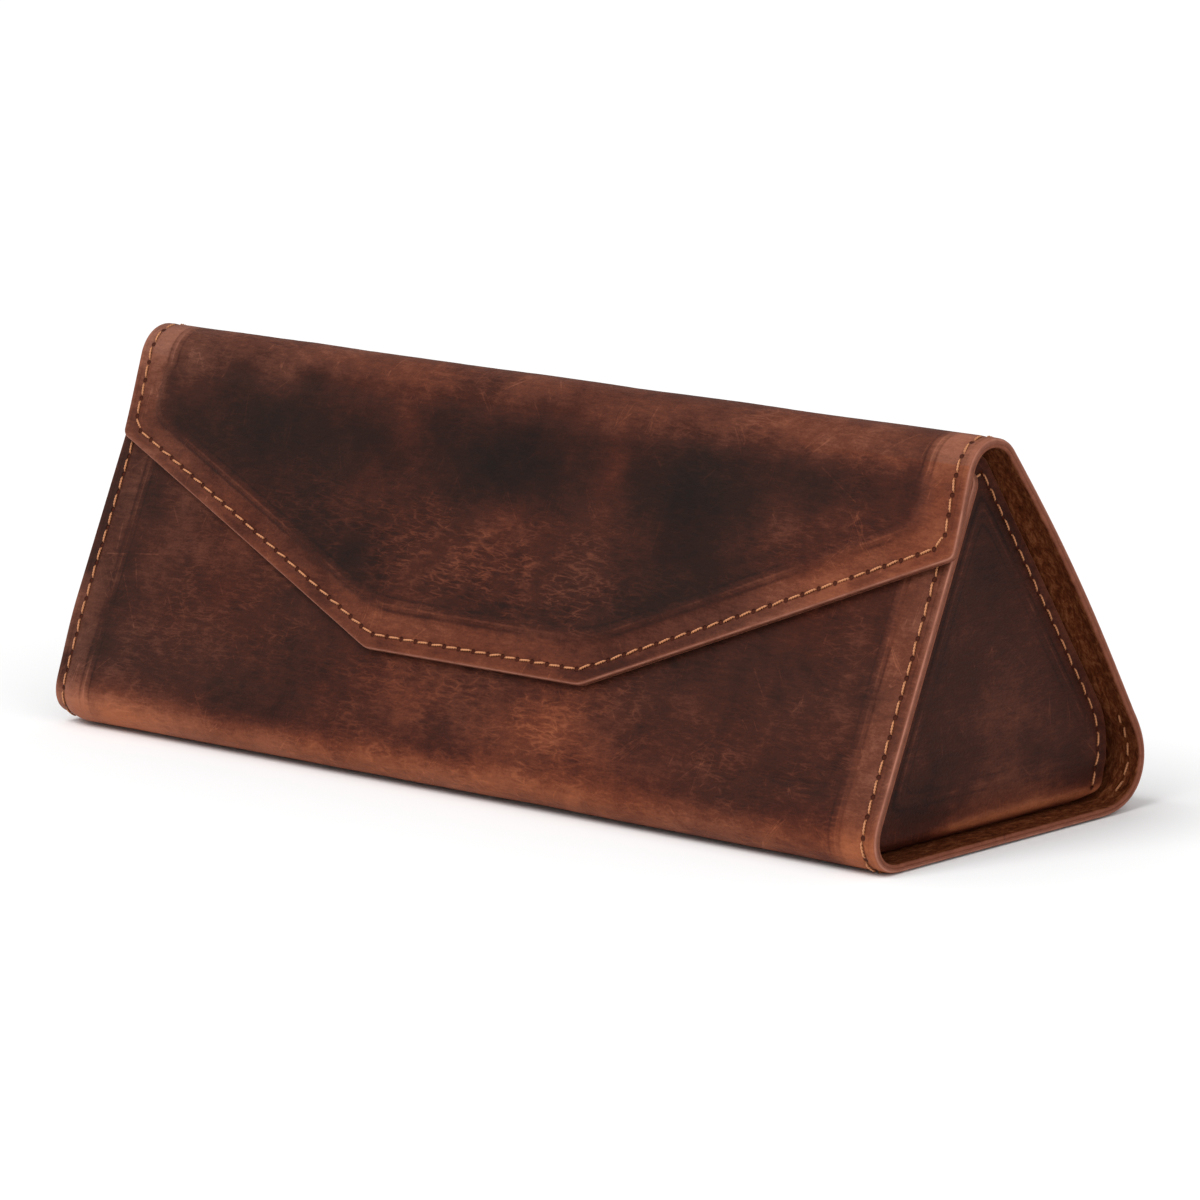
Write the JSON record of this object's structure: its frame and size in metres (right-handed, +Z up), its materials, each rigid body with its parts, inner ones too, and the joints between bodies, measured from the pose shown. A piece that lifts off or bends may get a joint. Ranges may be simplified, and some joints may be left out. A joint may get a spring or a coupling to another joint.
{
  "type": "eyeglasses case",
  "caption": "Folding triangular eyeglasses case in stitched leather over stiff boards, with a trapezoid magnetic flap and end panels that fold inward.",
  "frame": {"origin": "middle of the underside, on the surface the case stands on", "axes": "+X along the case, -Y to the front where the flap closes, +Z up"},
  "size_m": [0.17, 0.0626, 0.0611],
  "materials": {
    "leather": "oiled pull-up leather, dark chocolate with lighter red-brown folds and edges",
    "suede_lining": "rough split leather, flesh side out",
    "stiffener_board": "pressed fibre board",
    "thread": "waxed golden-tan sewing thread",
    "magnet": "nickel plated"
  },
  "bodies": {
    "base": {"bottom_leather": "leather", "bottom_board": "stiffener_board", "bottom_lining": "suede_lining", "bottom_stitching": "thread", "left_end_tab": "leather", "right_end_tab": "leather", "left_end_fold": "leather", "right_end_fold": "leather", "front_fold_leather": "leather", "front_fold_lining": "suede_lining", "front_fold_stitching": "thread", "rear_fold_leather": "leather", "rear_fold_lining": "suede_lining", "rear_fold_stitching": "thread"},
    "front": {"front_leather": "leather", "front_board": "stiffener_board", "front_lining": "suede_lining", "front_magnets": "magnet", "front_stitching": "thread"},
    "back": {"back_leather": "leather", "back_board": "stiffener_board", "back_lining": "suede_lining", "back_stitching": "thread", "top_fold_leather": "leather", "top_fold_lining": "suede_lining", "top_fold_stitching": "thread"},
    "flap": {"flap_leather": "leather", "flap_board": "stiffener_board", "flap_lining": "suede_lining", "flap_magnets": "magnet", "flap_stitching": "thread"},
    "left_end": {"left_end_leather": "leather", "left_end_board": "stiffener_board", "left_end_lining": "suede_lining", "left_end_stitching": "thread"},
    "right_end": {"right_end_leather": "leather", "right_end_board": "stiffener_board", "right_end_lining": "suede_lining", "right_end_stitching": "thread"}
  },
  "joints": [
    {"name": "flap_hinge", "type": "hinge", "parent": "back", "child": "flap", "pos_m": [0, -0.00558, 0.06192], "axis": [-1, 0, 0], "range_deg": [0, 175], "deforming": ["top_fold_leather", "top_fold_lining", "top_fold_stitching"]},
    {"name": "front_lean", "type": "hinge", "parent": "base", "child": "front", "pos_m": [0, -0.0245, 0.0068], "axis": [1, 0, 0], "range_deg": [0, 17.5], "deforming": ["front_fold_leather", "front_fold_lining", "front_fold_stitching"]},
    {"name": "back_lean", "type": "hinge", "parent": "base", "child": "back", "pos_m": [0, 0.0215, 0.0098], "axis": [-1, 0, 0], "range_deg": [0, 10.5], "deforming": ["rear_fold_leather", "rear_fold_lining", "rear_fold_stitching"]},
    {"name": "left_end_fold_in", "type": "hinge", "parent": "base", "child": "left_end", "pos_m": [-0.0784, 0, 0.0039], "axis": [0, 1, 0], "range_deg": [0, 80], "deforming": ["left_end_fold"]},
    {"name": "right_end_fold_in", "type": "hinge", "parent": "base", "child": "right_end", "pos_m": [0.0784, 0, 0.0039], "axis": [0, -1, 0], "range_deg": [0, 80], "deforming": ["right_end_fold"]}
  ],
  "couplings": [
    {"joint": "front_lean", "follows": "flap_hinge", "ratio": 0.1},
    {"joint": "back_lean", "follows": "flap_hinge", "ratio": 0.06}
  ]
}
